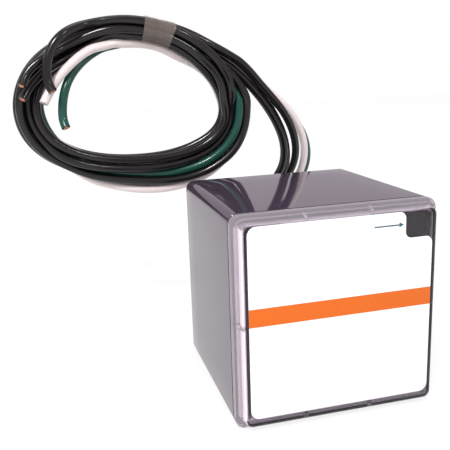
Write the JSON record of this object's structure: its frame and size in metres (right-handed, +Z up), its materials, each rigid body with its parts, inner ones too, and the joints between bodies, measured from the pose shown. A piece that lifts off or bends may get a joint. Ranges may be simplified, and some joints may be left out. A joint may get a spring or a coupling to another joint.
{
  "type": "hard-wired surge protector",
  "caption": "Near-cubic smoked plastic surge protector box with a clear stepped front cover, a rear conduit nipple with locknut, and stiff leads standing in a taped coil behind it.",
  "frame": {"origin": "middle of the box's flat base, at mid depth between the flange face and the rear wall", "axes": "+Z up from the base, +Y to the rear along the conduit nipple, +X to the right seen from the front"},
  "size_m": [0.1588, 0.1497, 0.1634],
  "materials": {
    "smoked_plastic": "smooth smoked grey moulding",
    "gasket": "matte",
    "clear_cover": "clear, stepped edges",
    "label": "white laminated face with a plain orange band",
    "dark_window": "smoked, ribbed",
    "light_pipe": "clear",
    "lamp": "green lamp",
    "board": "green solder mask",
    "standoff": "natural nylon",
    "screw": "zinc plated",
    "module_plastic": "black moulding",
    "varistor": "blue epoxy over zinc oxide",
    "slider_plastic": "orange moulding",
    "spring_steel": "spring wire",
    "fuse_ceramic": "fine grained",
    "fuse_cap": "nickel plated",
    "brass": "turned",
    "copper": "stranded copper",
    "black_lead": "glossy nylon over insulation",
    "white_lead": "glossy nylon over warm white insulation",
    "green_lead": "glossy nylon over dark green insulation",
    "potting": "cast resin",
    "nipple_steel": "zinc plated, threaded",
    "washer_rubber": "matte",
    "locknut_steel": "zinc plated",
    "coil_bundle": "bundle of insulated leads",
    "tape": "clear amber film"
  },
  "bodies": {
    "case": {"housing": "smoked_plastic", "cover_gasket": "gasket", "front_cover": "clear_cover", "face_label": "label", "status_window": "dark_window", "light_pipes": "light_pipe", "status_lamps": "lamp", "circuit_board": "board", "board_standoffs": "standoff", "board_screws": "screw", "module_case_1": "module_plastic", "module_case_2": "module_plastic", "module_case_3": "module_plastic", "module_case_4": "module_plastic", "varistor_disc_1": "varistor", "varistor_disc_2": "varistor", "varistor_disc_3": "varistor", "varistor_disc_4": "varistor", "slider_spring_1": "spring_steel", "slider_spring_2": "spring_steel", "slider_spring_3": "spring_steel", "slider_spring_4": "spring_steel", "fuse_bodies": "fuse_ceramic", "fuse_caps": "fuse_cap", "lead_terminals": "brass", "lead_cores": "copper", "inner_leads_black": "black_lead", "inner_lead_white": "white_lead", "inner_lead_green": "green_lead", "nipple_potting": "potting", "conduit_nipple": "nipple_steel", "sealing_washer": "washer_rubber", "riser_black_a": "black_lead", "riser_black_b": "black_lead", "riser_black_c": "black_lead", "riser_white": "white_lead", "riser_green": "green_lead", "lead_coil": "coil_bundle", "coil_tape": "tape", "end_black_a": "black_lead", "end_black_b": "black_lead", "end_black_c": "black_lead", "end_white": "white_lead", "end_green": "green_lead", "stripped_ends": "copper"},
    "locknut": {"locknut": "locknut_steel"},
    "slider_1": {"trip_slider_1": "slider_plastic"},
    "slider_2": {"trip_slider_2": "slider_plastic"},
    "slider_3": {"trip_slider_3": "slider_plastic"},
    "slider_4": {"trip_slider_4": "slider_plastic"}
  },
  "joints": [
    {"name": "locknut_turn", "type": "hinge", "parent": "case", "child": "locknut", "pos_m": [0, 0.04075, 0.0426], "axis": [0, 1, 0], "continuous": true},
    {"name": "slider_1_trip", "type": "slide", "parent": "case", "child": "slider_1", "axis": [0, 0, 1], "range_m": [0, 0.0075], "deforming": ["slider_spring_1"]},
    {"name": "slider_2_trip", "type": "slide", "parent": "case", "child": "slider_2", "axis": [0, 0, 1], "range_m": [0, 0.0075], "deforming": ["slider_spring_2"]},
    {"name": "slider_3_trip", "type": "slide", "parent": "case", "child": "slider_3", "axis": [0, 0, 1], "range_m": [0, 0.0075], "deforming": ["slider_spring_3"]},
    {"name": "slider_4_trip", "type": "slide", "parent": "case", "child": "slider_4", "axis": [0, 0, 1], "range_m": [0, 0.0075], "deforming": ["slider_spring_4"]}
  ]
}
